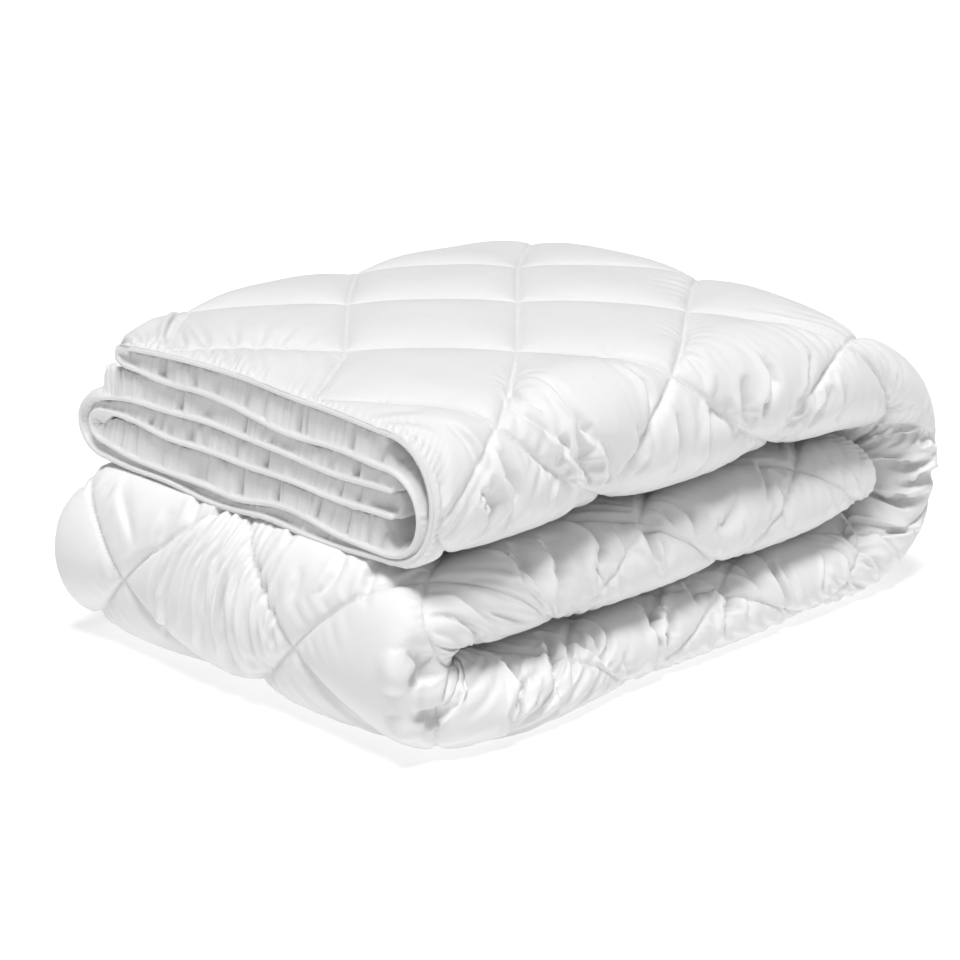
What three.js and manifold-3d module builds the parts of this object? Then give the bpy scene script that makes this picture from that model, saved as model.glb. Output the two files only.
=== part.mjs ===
// Quilted duvet, folded to a block, in millimetres with +Z up.
// The duvet is folded in half and then in thirds to a strip of six layers, and that
// strip is folded in thirds again: from the hem on top, round the right end, along the
// floor, up the left end and back in under the top. +X runs along the strip, and the
// closed, rounded folds of the strip look towards -Y.

import * as THREE from 'three';
import Module from 'manifold-3d';
import { mergeVertices } from 'three/addons/utils/BufferGeometryUtils.js';

// Quilting: stitched rows at 45 degrees to the strip, crossing in diamonds
const DIAMOND = 160;          // a diamond's length along the strip
const CELLS = 8;              // mesh cells along a diamond
const SEAM_DEPTH = 8;         // how far a stitched row lies below the crest of a puff
const SEAM_SHARE = 0.6;       // and at most this share of the layer's thickness
const SEAM_AT_HEM = 0.3;      // share of that depth that is left at the bound edges
const SEAM_PHASE = 4;         // cell of the first crossing on the hem
const PUFF_FULL = 2.2;        // form of a puff: 1 is a ridge, more is fuller
const TOP_CELLS = 14;         // cells across the first layer
const FRONT_CELLS = 8;        // cells round the front
const BOTTOM_CELLS = [0, 1, 2, 4, 7, 10, 13, 15]; // cell corners across the sixth layer

// Layers of the strip
const LAYERS = 6;
const GAP = 2.2;              // air between two layers inside the strip
const HEM_LAYER = 6.2;        // thickness of a layer at its bound edge
const HEM_GAP = 5;            // air between the folds at the hem
const HEM_TAPER = 62;         // length over which the layers swell from the hem
const NOSE_FULL = 0.78;       // form of the rounded front: 1 is an ellipse, less is fuller
const LAYER_ENDS = 44;        // how far the free layer ends stay behind the front
const ENDS_OPEN = 5;          // overlap of the two spaces at the free layer ends
const SLIT = 26;              // depth over which the slit at the back narrows outwards
const SLIT_MOUTH = 0.55;      // height of the slit at its mouth, as a share of the inside
const VALLEY = 5;             // depth of the valley between the folds at the back
const SPACE_STEP = 100;       // longest step of the spaces along the strip
const SPACE_TURN = 21;        // largest turn of the spaces in a step, in degrees
const OVERRUN = 3;            // how far the spaces run out of the ends of the strip

// Binding
const BINDING = 6.2;          // width and height of the bound edge
const BINDING_SIDES = 6;      // sides of its section
const SEAT = 0.3;             // clearance of the binding on the cloth

const FLOOR = 0;

// The strip's sections along its length. x, z: outside of the first layer, seen from the
// front. inX, inZ: outside of the sixth layer. front, back: reach of the strip in Y.
// nose: length of its rounded front. bend: reach of the fold between the first two
// layers. crown and rear: fall of the outside towards the front and the back. tuck: how
// far the sixth layer is drawn in.
const COLUMNS = ['x', 'z', 'inX', 'inZ', 'front', 'back', 'nose', 'bend', 'crown', 'rear', 'tuck'];
const SECTIONS = [
  [-223, 206, -223, 113.5, -168, 173, 44, 131, 4, 4, 0],
  [-165, 213, -168, 115, -178, 173, 46, 162, 7, 7, 0],
  [-30, 217, -35, 114, -180, 172, 48, 168, 9, 14, 0],
  [100, 212, 95, 114.5, -180, 172, 48, 168, 14, 14, 0],
  [188, 198, 174, 114, -180, 170, 40, 164, 20, 4, 6],
  [247, 154, 204, 104, -185, 168, 38, 160, 14, 0, 20],
  [264, 94, 210, 82, -188, 168, 42, 160, 4, 0, 26],
  [250, 34, 204, 59, -186, 168, 42, 158, 2, 0, 22],
  [204, 1, 174, 50, -180, 170, 36, 158, 2, 0, 6],
  [120, -4, 110, 47.5, -178, 172, 34, 160, 1, 0, 0],
  [-30, -4, -30, 46.5, -178, 173, 34, 162, 1, 0, 0],
  [-176, -4, -150, 48, -186, 173, 42, 162, 1, 0, 0],
  [-236, 8, -184, 56, -184, 173, 44, 164, 2, 0, 6],
  [-257, 54, -191, 60, -180, 173, 43, 166, 3, 0, 12],
  [-245, 95, -186, 60, -176, 172, 42, 164, 3, 0, 6],
  [-206, 108, -165, 54, -172, 171, 42, 163, 2, 0, 0],
  [-145, 111, -130, 51, -174, 170, 44, 162, 2, 0, 0],
  [0, 111.5, 0, 50, -176, 168, 44, 160, 2, 0, 0],
  [130, 112, 130, 51, -174, 168, 44, 158, 3, 0, 0],
  [194, 106, 192, 58, -166, 164, 40, 150, 3, 0, 0],
].map((row) => Object.fromEntries(row.map((value, n) => [COLUMNS[n], value])));

// Cells of the quilting that have passed at lengths along the strip, up to its far end
const CELL_PLACES = [
  [0, 0], [7.95, 150], [16, 311], [20.4, 415], [44, 925], [56, 1164], [68, 1420], [80, Infinity],
];

// Cells by which the quilting is moved across the strip, at cells along it
const CELL_SHIFTS = [[0, 0], [47, 0], [51, 1], [60, 1], [64, 0], [80, 0]];

// Where the middle of each layer lies at the hem, as a share of the strip's thickness
const HEM_LEVELS = [0.035, 0.26, 0.46, 0.64, 0.86, 0.965];

const cloth = new THREE.MeshStandardMaterial({ color: 0xf1f1f0, roughness: 0.7, metalness: 0 });
const edging = new THREE.MeshStandardMaterial({ color: 0xececeb, roughness: 0.6, metalness: 0 });

const lerp = THREE.MathUtils.lerp;
const { min, max, cos, sin, round, hypot, PI } = Math;

// A smooth curve through three columns of the table of sections
function column(a, b, c) {
  const points = SECTIONS.map((row) => new THREE.Vector3(row[a], row[b], row[c]));
  return new THREE.CatmullRomCurve3(points);
}

// A smooth curve through two columns that give X and Z
function sideView(x, z) {
  return new THREE.CatmullRomCurve3(SECTIONS.map((row) => new THREE.Vector3(row[x], 0, row[z])));
}

// The value of a table of pairs at a place, with straight lines between its rows
function lookUp(table, place) {
  const n = max(1, table.findIndex(([at]) => at >= place));
  const [[a, first], [b, second]] = [table[n - 1], table[n]];
  return lerp(first, second, (place - a) / (b - a));
}

// Stations a cell apart along the outside of the strip
function makeStations() {
  const outside = sideView('x', 'z');
  const inside = sideView('inX', 'inZ');
  const reach = column('front', 'back', 'bend');
  const falls = column('crown', 'rear', 'tuck');
  const noses = column('nose', 'nose', 'nose');
  const length = outside.getLength();
  const places = CELL_PLACES.map(([cell, along]) => [cell, min(along, length)]);
  const stations = [];
  for (let i = 0; i <= places.at(-1)[0]; i += 1) {
    const along = lookUp(places, i);
    const t = outside.getUtoTmapping(along / length);
    const out = outside.getPoint(t);
    const down = inside.getPoint(t).sub(out);
    const thick = down.length();
    const [front, back, bend] = reach.getPoint(t).toArray();
    const [crown, rear, tuck] = falls.getPoint(t).toArray();
    const nose = noses.getPoint(t).x;
    const hem = 1 - THREE.MathUtils.smoothstep(along, 0, HEM_TAPER);
    const tail = 1 - THREE.MathUtils.smoothstep(length - along, 0, HEM_TAPER);
    const half = lerp((thick / LAYERS - GAP) / 2, HEM_LAYER / 2, max(hem, tail));
    stations.push({
      index: i, shift: lookUp(CELL_SHIFTS, i), out, down: down.normalize(), thick, half,
      front, back, nose, bend, crown, rear, tuck, hem, tail,
    });
  }
  return stations;
}

// Depth of the middle of a layer below the outside, at a place across the strip
function layerDepth(s, layer, y) {
  const even = (layer - 0.5) / LAYERS;
  const level = lerp(even, HEM_LEVELS[layer - 1], s.hem);
  const fall = (y < 0 ? s.crown : s.rear) * min(1, (y / s.back) ** 2);
  return fall + (s.thick - fall) * level;
}

// The places where the straight layers turn into the folds, and the folds' sizes
function turns(s) {
  const pitch = layerDepth(s, 2, 0) - layerDepth(s, 1, 0);
  const height = layerDepth(s, 6, 0) - layerDepth(s, 3, 0);
  const layer = 2 * s.half + lerp(GAP, HEM_GAP, s.hem);
  const hairpin = s.bend - s.half - pitch / 2;
  return {
    nose: s.front + s.half + s.nose,
    noseInside: s.nose - layer,
    heel: s.back - s.half - height / 2,
    heelLength: height / 2,
    heelInside: height / 2 - layer,
    hairpin,
    hairpinLength: pitch / 2,
    valley: min(hairpin, s.back - s.half - height / 2) - VALLEY,
    ends: s.front + LAYER_ENDS,
  };
}

// Part of a layer between two places across the strip
function run(s, layer, from, to, count) {
  return Array.from({ length: count + 1 }, (_, n) => {
    const y = lerp(from, to, n / count);
    return { y, d: layerDepth(s, layer, y) };
  });
}

// A fold from one layer to another that bulges from the place y, without its ends
function fold(s, from, to, y, bulge, count, full = 1) {
  const a = layerDepth(s, from, y);
  const b = layerDepth(s, to, y);
  return Array.from({ length: count - 1 }, (_, n) => {
    const turn = ((n + 1) / count) * PI;
    return {
      y: y + bulge * sin(turn) ** full,
      d: (a + b) / 2 + ((a - b) / 2) * cos(turn),
    };
  });
}

// Moves a line of points sideways: side 1 is the outside of the cloth, -1 its inside
function offset(points, amount, side) {
  return points.map((point, n) => {
    const before = points[max(n - 1, 0)];
    const after = points[min(n + 1, points.length - 1)];
    const length = hypot(after.y - before.y, after.d - before.d);
    const ny = ((after.d - before.d) / length) * side;
    const nd = (-(after.y - before.y) / length) * side;
    return { ...point, y: point.y + ny * amount, d: point.d + nd * amount, ny, nd };
  });
}

// The middle of all six layers, from the free end of the third to that of the fourth
function wholeCloth(s, perLayer, perFold) {
  const t = turns(s);
  const few = round(perFold / 2) + 1;
  return [
    ...run(s, 3, t.ends, t.heel, perLayer),
    ...fold(s, 3, 6, t.heel, t.heelLength, few + 1),
    ...run(s, 6, t.heel, t.nose, perLayer),
    ...fold(s, 6, 1, t.nose, -s.nose, perFold, NOSE_FULL),
    ...run(s, 1, t.nose, t.hairpin, perLayer),
    ...fold(s, 1, 2, t.hairpin, t.hairpinLength, few),
    ...run(s, 2, t.hairpin, t.nose, perLayer),
    ...fold(s, 2, 5, t.nose, -t.noseInside, perFold, NOSE_FULL),
    ...run(s, 5, t.nose, t.heel, perLayer),
    ...fold(s, 5, 4, t.heel, t.heelInside, few),
    ...run(s, 4, t.heel, t.ends, perLayer),
  ];
}

// A point between the second and third layers, 0 in the middle and 1 on the second
function slitPoint(s, y, side = 0) {
  const upper = layerDepth(s, 2, y);
  const lower = layerDepth(s, 3, y);
  return { y, d: (upper + lower) / 2 - side * ((lower - upper) / 2 - s.half) };
}

// The outline of the whole strip. cell counts mesh cells across the cloth, from the
// fold of the first layer over the front and along the sixth layer.
function outline(s) {
  const t = turns(s);
  const top = run(s, 1, t.nose, t.hairpin, TOP_CELLS).map((p, n) => ({ ...p, cell: TOP_CELLS - n }));
  const front = fold(s, 6, 1, t.nose, -s.nose, FRONT_CELLS, NOSE_FULL);
  front.forEach((p, n) => { p.cell = TOP_CELLS + FRONT_CELLS - 1 - n; });
  const bottom = BOTTOM_CELLS.map((cell) => {
    const y = lerp(t.nose, t.heel, cell / BOTTOM_CELLS.at(-1));
    return { y, d: layerDepth(s, LAYERS, y), cell: TOP_CELLS + FRONT_CELLS + cell };
  });
  const line = offset([
    { y: t.heel, d: layerDepth(s, 3, t.heel) },
    ...fold(s, 3, 6, t.heel, t.heelLength, 4),
    ...bottom.reverse(),
    ...front,
    ...top,
    ...fold(s, 1, 2, t.hairpin, t.hairpinLength, 3),
    { y: t.hairpin, d: layerDepth(s, 2, t.hairpin) },
  ], s.half, 1);
  return [...line, slitPoint(s, t.valley)];
}

// The thin space inside the half fold, from its free ends to the first fold
function innerGap(s) {
  const line = offset(wholeCloth(s, 3, 5), s.half, -1);
  line[0].y -= ENDS_OPEN;
  line.at(-1).y -= ENDS_OPEN;
  return line;
}

// The space from the slit at the back to the fold between the fourth and fifth layers
function outerGap(s) {
  const t = turns(s);
  const narrow = t.valley - SLIT;
  const mouth = s.bend + SLIT / 2;
  const line = [
    slitPoint(s, mouth, SLIT_MOUTH),
    ...offset([
      ...run(s, 2, narrow, t.nose, 3),
      ...fold(s, 2, 5, t.nose, -t.noseInside, 5, NOSE_FULL),
      ...run(s, 5, t.nose, t.heel, 3),
    ], s.half, 1),
    ...offset(run(s, 4, t.heel, t.ends, 3), s.half, 1),
    ...offset(run(s, 3, t.ends, narrow, 3), s.half, 1),
    slitPoint(s, mouth, -SLIT_MOUTH),
  ];
  return line.reverse();
}

// A point of a section in space
function place(s, { y, d }) {
  const drawn = s.tuck * (d / s.thick) * THREE.MathUtils.smoothstep(-y, 0, -s.front);
  const point = s.out.clone().addScaledVector(s.down, d);
  point.y = y + drawn;
  return point;
}

// Height of the quilting at a cell corner: 0 on a stitched row, 1 on the crest of a puff
function quilting(along, across) {
  const rise = (n) => {
    const cell = (((n - SEAM_PHASE) % CELLS) + CELLS) % CELLS;
    const away = min(cell, CELLS - cell) / (CELLS / 2);
    return 1 - (1 - away) ** PUFF_FULL;
  };
  return rise(along + across) * rise(along - across);
}

// The outline of the strip in space: stitched rows lie deeper, and the floor is flat
function quiltedRing(s) {
  return outline(s).map((point) => {
    const stitched = point.cell === undefined ? 0 : 1 - quilting(s.index, point.cell + s.shift);
    const deepest = min(SEAM_DEPTH, SEAM_SHARE * 2 * s.half);
    const depth = deepest * stitched * lerp(1, SEAM_AT_HEM, max(s.hem, s.tail));
    const ring = place(s, { y: point.y - (point.ny ?? 0) * depth, d: point.d - (point.nd ?? 0) * depth });
    ring.z = max(ring.z, FLOOR);
    return ring;
  });
}

// The closed solid through rings of equal length, with flat outlines for its two ends.
// rising says for a cell along which of its diagonals it is split.
function loft(rings, firstFlat, lastFlat, rising = () => false) {
  const count = rings[0].length;
  const index = [];
  for (let i = 0; i + 1 < rings.length; i += 1) {
    for (let j = 0; j < count; j += 1) {
      const a = i * count + j;
      const b = i * count + ((j + 1) % count);
      if (rising(i, j)) {
        index.push(a, b + count, b, a, a + count, b + count);
      } else {
        index.push(a, a + count, b, b, a + count, b + count);
      }
    }
  }
  const last = (rings.length - 1) * count;
  const close = (flat, first, turned) => {
    const corners = flat.map(({ y, d }) => new THREE.Vector2(y, d));
    const back = turned !== THREE.ShapeUtils.isClockWise(corners);
    THREE.ShapeUtils.triangulateShape(corners, []).forEach(([a, b, c]) => {
      index.push(first + a, first + (back ? c : b), first + (back ? b : c));
    });
  };
  close(firstFlat, 0, false);
  close(lastFlat, last, true);
  const geometry = new THREE.BufferGeometry();
  const places = rings.flat().flatMap((point) => point.toArray());
  geometry.setAttribute('position', new THREE.Float32BufferAttribute(places, 3));
  geometry.setIndex(index);
  return geometry;
}

// Fewer stations for the spaces: all that a straight stretch or a bend needs
function spaceStations(stations) {
  const kept = [stations[0]];
  stations.slice(1, -1).forEach((s) => {
    const before = kept.at(-1);
    const turned = THREE.MathUtils.radToDeg(before.down.angleTo(s.down));
    const near = s.hem > 0 || s.tail > 0;
    if (near || turned > SPACE_TURN || (s.index - before.index) * (DIAMOND / CELLS) >= SPACE_STEP) {
      kept.push(s);
    }
  });
  return [...kept, stations.at(-1)];
}

// Direction of the strip at a station
function heading(s) {
  return s.down.clone().cross(new THREE.Vector3(0, 1, 0));
}

// A space between layers, running out of both ends of the strip
function space(stations, line) {
  const kept = spaceStations(stations);
  const rings = kept.map((s) => line(s).map((point) => place(s, point)));
  rings[0].forEach((point) => point.addScaledVector(heading(kept[0]), -OVERRUN));
  rings.at(-1).forEach((point) => point.addScaledVector(heading(kept.at(-1)), OVERRUN));
  return loft(rings, line(kept[0]), line(kept.at(-1)));
}

const wasm = await Module();
wasm.setup();

function solidOf(geometry) {
  const merged = mergeVertices(geometry);
  return new wasm.Manifold(new wasm.Mesh({
    numProp: 3,
    vertProperties: Float32Array.from(merged.attributes.position.array),
    triVerts: Uint32Array.from(merged.index.array),
  }));
}

function geometryOf(solid) {
  const mesh = solid.getMesh();
  const geometry = new THREE.BufferGeometry();
  geometry.setAttribute('position', new THREE.BufferAttribute(mesh.vertProperties, 3));
  geometry.setIndex(new THREE.BufferAttribute(mesh.triVerts, 1));
  geometry.computeVertexNormals();
  return geometry;
}

// The quilted cloth with its filling, in one piece
function quiltedBody(stations) {
  const rings = stations.map(quiltedRing);
  const cells = outline(stations[0]).map((point) => point.cell);
  const rising = (i, j) => {
    const shift = round(stations[i].shift);
    const cell = min(cells[j] ?? 0, cells[(j + 1) % cells.length] ?? 0) + shift;
    return (((i + cell - SEAM_PHASE + 1) % CELLS) + CELLS) % CELLS < CELLS / 2;
  };
  const whole = solidOf(loft(rings, outline(stations[0]), outline(stations.at(-1)), rising));
  return whole
    .subtract(solidOf(space(stations, innerGap)))
    .subtract(solidOf(space(stations, outerGap)));
}

// The bound edge along the ends of all six layers. way is -1 at the hem, 1 at the far end.
function binding(s, way) {
  const path = wholeCloth(s, 6, 8);
  const normals = offset(path, 1, 1);
  const outwards = heading(s).multiplyScalar(way);
  const side = (2 * PI) / BINDING_SIDES;
  const corners = Array.from({ length: BINDING_SIDES }, (_, n) => -way * (n + 0.5) * side);
  const size = BINDING / 2;
  const rings = path.map((point, n) => corners.map((turn) => {
    const across = size * cos(turn);
    const edge = { y: point.y + normals[n].ny * across, d: point.d + normals[n].nd * across };
    return place(s, edge).addScaledVector(outwards, SEAT + size + size * sin(turn));
  }));
  const flat = corners.map((turn) => ({ y: cos(turn), d: sin(turn) }));
  return loft(rings, flat, flat);
}

function piece(name, geometry, material) {
  const mesh = new THREE.Mesh(geometry, material);
  mesh.name = name;
  return mesh;
}

const stations = makeStations();
const group = new THREE.Group();
group.add(piece('duvet_body', geometryOf(quiltedBody(stations)), cloth));
group.add(piece('binding_top_end', binding(stations[0], -1), edging));
group.add(piece('binding_inner_end', binding(stations.at(-1), 1), edging));

// The origin is under the middle of the folded block, on the floor
const middle = new THREE.Box3().setFromObject(group).getCenter(new THREE.Vector3());
group.position.set(-middle.x, -middle.y, 0);

export default group;
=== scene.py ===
"""A white quilted duvet, folded to a block.

The cloth is laid over the same folded form as the solid, on a fine grid that runs along
the folded strip and across it, and is then relaxed as a sewn and filled cloth: it is held
down along the stitched rows, pushed out by the filling, and has a little more length than
its form, so that it puckers. Sizes are in millimetres until a mesh is made.
"""
import math

import bpy
import numpy as np
from mathutils import Matrix, Vector


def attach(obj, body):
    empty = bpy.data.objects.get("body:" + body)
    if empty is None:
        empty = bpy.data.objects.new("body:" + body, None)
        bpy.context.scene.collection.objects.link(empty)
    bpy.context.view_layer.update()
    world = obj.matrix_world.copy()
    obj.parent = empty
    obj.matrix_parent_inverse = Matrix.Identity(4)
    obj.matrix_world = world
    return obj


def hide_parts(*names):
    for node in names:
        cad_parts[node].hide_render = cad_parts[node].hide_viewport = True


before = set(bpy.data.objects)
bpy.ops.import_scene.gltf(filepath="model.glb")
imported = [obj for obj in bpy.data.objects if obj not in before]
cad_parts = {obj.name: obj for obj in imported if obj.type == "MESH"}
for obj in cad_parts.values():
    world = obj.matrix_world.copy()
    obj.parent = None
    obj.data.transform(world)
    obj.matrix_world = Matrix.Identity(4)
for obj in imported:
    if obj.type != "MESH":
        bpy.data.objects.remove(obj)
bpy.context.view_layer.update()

BODY = "root"
MM = 0.001
MIDDLE = np.array([3.353, -5.665, 0.0])  # middle of the folded block in the sections' own frame

# The folded form

# The strip's section at places along it: the outside and the inside of the folded strip, and
# where its layers turn across it
SECTION_COLUMNS = (
    "x", "z", "in_x", "in_z", "front", "back", "nose", "bend", "crown", "rear", "tuck")
SECTIONS = np.array([
    (-223, 206, -223, 113.5, -168, 173, 44, 131, 4, 4, 0),
    (-165, 213, -168, 115, -178, 173, 46, 162, 7, 7, 0),
    (-30, 217, -35, 114, -180, 172, 48, 168, 9, 14, 0),
    (100, 212, 95, 114.5, -180, 172, 48, 168, 14, 14, 0),
    (188, 198, 174, 114, -180, 170, 40, 164, 20, 4, 6),
    (247, 154, 204, 104, -185, 168, 38, 160, 14, 0, 20),
    (264, 94, 210, 82, -188, 168, 42, 160, 4, 0, 26),
    (250, 34, 204, 59, -186, 168, 42, 158, 2, 0, 22),
    (204, 1, 174, 50, -180, 170, 36, 158, 2, 0, 6),
    (120, -4, 110, 47.5, -178, 172, 34, 160, 1, 0, 0),
    (-30, -4, -30, 46.5, -178, 173, 34, 162, 1, 0, 0),
    (-176, -4, -150, 48, -186, 173, 42, 162, 1, 0, 0),
    (-236, 8, -184, 56, -184, 173, 44, 164, 2, 0, 6),
    (-257, 54, -191, 60, -180, 173, 43, 166, 3, 0, 12),
    (-245, 95, -186, 60, -176, 172, 42, 164, 3, 0, 6),
    (-206, 108, -165, 54, -172, 171, 42, 163, 2, 0, 0),
    (-145, 111, -130, 51, -174, 170, 44, 162, 2, 0, 0),
    (0, 111.5, 0, 50, -176, 168, 44, 160, 2, 0, 0),
    (130, 112, 130, 51, -174, 168, 44, 158, 3, 0, 0),
    (194, 106, 192, 58, -166, 164, 40, 150, 3, 0, 0),
], float)

# Sizes of the cloth
LAYERS = 6
CELL = 20.0  # the quilting's unit, about
DIAMOND = 8  # cells along a diamond
PHASE = 4  # cell of the first crossing on the hem
# Quilting cell at places along the strip, and how far the cells shift aside
CELL_PLACES = ((0, 0), (150, 7.95), (311, 16), (415, 20.4), (925, 44), (1164, 56), (1420, 68))
CELLS_IN_ALL = 80
CELL_SHIFTS = ((0, 1.5), (3.5, 0), (47, 0), (51, 1), (60, 1), (64, 0))
SKEW = 0.2  # how much the rows run askew on the first roll
GAP, HEM_GAP = 2.2, 5.0  # air between two layers, also at the bound edges
HEM_LAYER = 6.2  # thickness of a layer at its bound edge
HEM_TAPER = 62.0  # length over which the strip takes its form at the edge
NOSE_FULL = 0.78  # below 1, a fold at the front is fuller than round
LAYER_ENDS = 44.0  # how far behind the front the two inner layers end
HEM_LEVELS = np.array([0.035, 0.26, 0.46, 0.64, 0.86, 0.965])  # depth of each layer, as a share
SLIT = 46.0  # how far the cover runs into the slit at the back

# How far each layer lies above its even level at the hem, at places across the strip, from
# points picked on the photo and rounded to whole millimetres
HEM_PLACES = np.array([-120, -80, -40, -15, 10, 40, 80, 120, 160], float)
HEM_LIFTS = np.array([
    (-5, -3, -3, -1, 0, 0, -1, -3, -5),
    (-7, -4, -7, -4, 0, 3, 1, 6, 6),
    (-1, -4, -1, 0, 1, 3, 1, 2, -6),
    (-1, -3, 0, -1, -1, 1, -1, 6, 3),
    (-6, -5, 2, 0, -6, -3, -3, -2, 6),
    (0, -3, -2, 1, -3, -4, 1, 0, 4),
], float)


def smoothstep(value, low, high):
    t = np.clip((value - low) / (high - low), 0, 1)
    return t * t * (3 - 2 * t)


def stretch(value, start, full, fade, end):
    """1 on a stretch and 0 off it, with eased ends."""
    return smoothstep(value, start, full) * (1 - smoothstep(value, fade, end))


def lerp(a, b, t):
    return a + (b - a) * t


def unit(vectors):
    return vectors / np.maximum(np.linalg.norm(vectors, axis=-1, keepdims=True), 1e-9)


def walked(line):
    """The length walked along a line, at each of its points."""
    return np.append(0, np.cumsum(np.linalg.norm(np.diff(line, axis=0), axis=1)))


def joined(parts):
    """Lines end to end, with the points where they meet only once."""
    return np.concatenate([part[:, (n > 0):] for n, part in enumerate(parts)], 1)


def smooth_steps(value, places, heights, blur=12):
    """Heights between the places of a table, with its corners rounded off."""
    step, reach = 2.0, 30
    even = np.arange(places[0] - reach * step, places[-1] + reach * step, step)
    rough = np.interp(even, places, heights)
    kernel = np.exp(-0.5 * (np.arange(-reach, reach + 1) * step / blur) ** 2)
    rough = np.convolve(np.pad(rough, reach, "edge"), kernel / kernel.sum(), "valid")
    return np.interp(value, even, rough)


def smooth_curve(points, t):
    """Centripetal Catmull-Rom curve through the points, for t from 0 to 1."""
    points = np.asarray(points, float)
    padded = np.vstack([2 * points[0] - points[1], points, 2 * points[-1] - points[-2]])
    place = np.clip(t, 0, 1) * (len(points) - 1)
    n = np.minimum(place.astype(int), len(points) - 2)
    w = (place - n)[:, None]
    p0, p1, p2, p3 = (padded[n + k] for k in range(4))
    d0, d1, d2 = (
        np.maximum(np.sqrt(np.linalg.norm(b - a, axis=1)), 1e-3)[:, None]
        for a, b in ((p0, p1), (p1, p2), (p2, p3)))
    t1 = ((p1 - p0) / d0 - (p2 - p0) / (d0 + d1) + (p2 - p1) / d1) * d1
    t2 = ((p2 - p1) / d1 - (p3 - p1) / (d1 + d2) + (p3 - p2) / d2) * d1
    return p1 + w * (t1 + w * (3 * (p2 - p1) - 2 * t1 - t2 + w * (2 * (p1 - p2) + t1 + t2)))


class Strip:
    """The strip's section at each of several places along it, as arrays."""

    def __init__(self, along):
        column = {name: SECTIONS[:, n] for n, name in enumerate(SECTION_COLUMNS)}
        outside = np.stack([column["x"], column["z"]], 1)
        inside = np.stack([column["in_x"], column["in_z"]], 1)
        fine = np.linspace(0, 1, 201)
        walk = walked(smooth_curve(outside, fine))
        self.length = walk[-1]
        self.along = np.asarray(along, float)
        t = np.interp(self.along, walk, fine)
        self.out = smooth_curve(outside, t)
        down = smooth_curve(inside, t) - self.out
        self.thick = np.linalg.norm(down, axis=1)
        self.down = down / self.thick[:, None]
        reach = smooth_curve(np.stack([column[k] for k in ("front", "back", "bend")], 1), t)
        form = smooth_curve(np.stack([column[k] for k in ("crown", "rear", "tuck", "nose")], 1), t)
        self.front, self.back, self.bend = reach.T
        self.crown, self.rear, self.tuck, self.nose = form.T
        self.hem = 1 - smoothstep(self.along, 0, HEM_TAPER)
        self.tail = 1 - smoothstep(self.length - self.along, 0, HEM_TAPER)
        bound = np.maximum(self.hem, self.tail)
        self.half = lerp((self.thick / LAYERS - GAP) / 2, HEM_LAYER / 2, bound)
        places, cells = np.array(CELL_PLACES).T
        places, cells = np.append(places, self.length), np.append(cells, CELLS_IN_ALL)
        self.cell = np.interp(self.along, places, cells)
        self.shift = np.interp(self.cell, *np.array(CELL_SHIFTS).T)

    def depth(self, layer, y):
        """Depth of the middle of a layer below the outside."""
        level = lerp((layer - 0.5) / LAYERS, HEM_LEVELS[layer - 1], self.hem)[:, None]
        fall = np.where(y < 0, self.crown[:, None], self.rear[:, None])
        fall = fall * np.minimum(1, (y / self.back[:, None]) ** 2)
        lift = self.hem[:, None] * smooth_steps(y, HEM_PLACES, HEM_LIFTS[layer - 1])
        return fall + (self.thick[:, None] - fall) * level - lift

    def turns(self):
        """Places where the layers turn into the folds, and how far the folds reach."""
        zero = np.zeros((len(self.along), 1))
        pitch = (self.depth(2, zero) - self.depth(1, zero))[:, 0]
        height = (self.depth(6, zero) - self.depth(3, zero))[:, 0]
        layer = 2 * self.half + lerp(GAP, HEM_GAP, self.hem)
        return {
            "nose": self.front + self.half + self.nose,
            "nose_inside": self.nose - layer,
            "heel": self.back - self.half - height / 2,
            "heel_length": height / 2,
            "heel_inside": height / 2 - layer,
            "hairpin": self.bend - self.half - pitch / 2,
            "hairpin_length": pitch / 2,
            "ends": self.front + LAYER_ENDS,
        }

    def run(self, layer, start, end, count):
        """The middle of a layer between two places across the strip."""
        y = lerp(start[:, None], end[:, None], np.linspace(0, 1, count)[None])
        return np.stack([y, self.depth(layer, y)], 2)

    def fold(self, first, second, at, bulge, count, full=1.0):
        """The middle of the cloth where it folds from one layer to another."""
        turn = np.linspace(0, math.pi, count)[None]
        a, b = self.depth(first, at[:, None]), self.depth(second, at[:, None])
        y = at[:, None] + bulge[:, None] * np.sin(turn) ** full
        return np.stack([y, (a + b) / 2 + (a - b) / 2 * np.cos(turn)], 2)

    def place(self, points):
        """Points of the sections, (across, depth), in space."""
        y, d = points[..., 0], points[..., 1]
        drawn = self.tuck[:, None] * (d / self.thick[:, None])
        drawn = drawn * smoothstep(-y, 0, -self.front[:, None])
        x = self.out[:, 0, None] + self.down[:, 0, None] * d
        z = self.out[:, 1, None] + self.down[:, 1, None] * d
        return np.stack([x, y + drawn, z], -1)


FULL_LENGTH = Strip([0]).length


def beside(points, amount):
    """Moves lines of section points to the outside of the cloth by an amount in mm."""
    step = unit(np.gradient(points, axis=1))
    return points + np.stack([-step[..., 1], step[..., 0]], 2) * amount


def resampled(points, count):
    """The same lines with evenly spaced points."""
    out = np.empty((len(points), count, points.shape[2]))
    for row, line in enumerate(points):
        walk = walked(line)
        at = np.linspace(0, walk[-1], count)
        for axis in range(points.shape[2]):
            out[row, :, axis] = np.interp(at, walk, line[:, axis])
    return out


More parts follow.
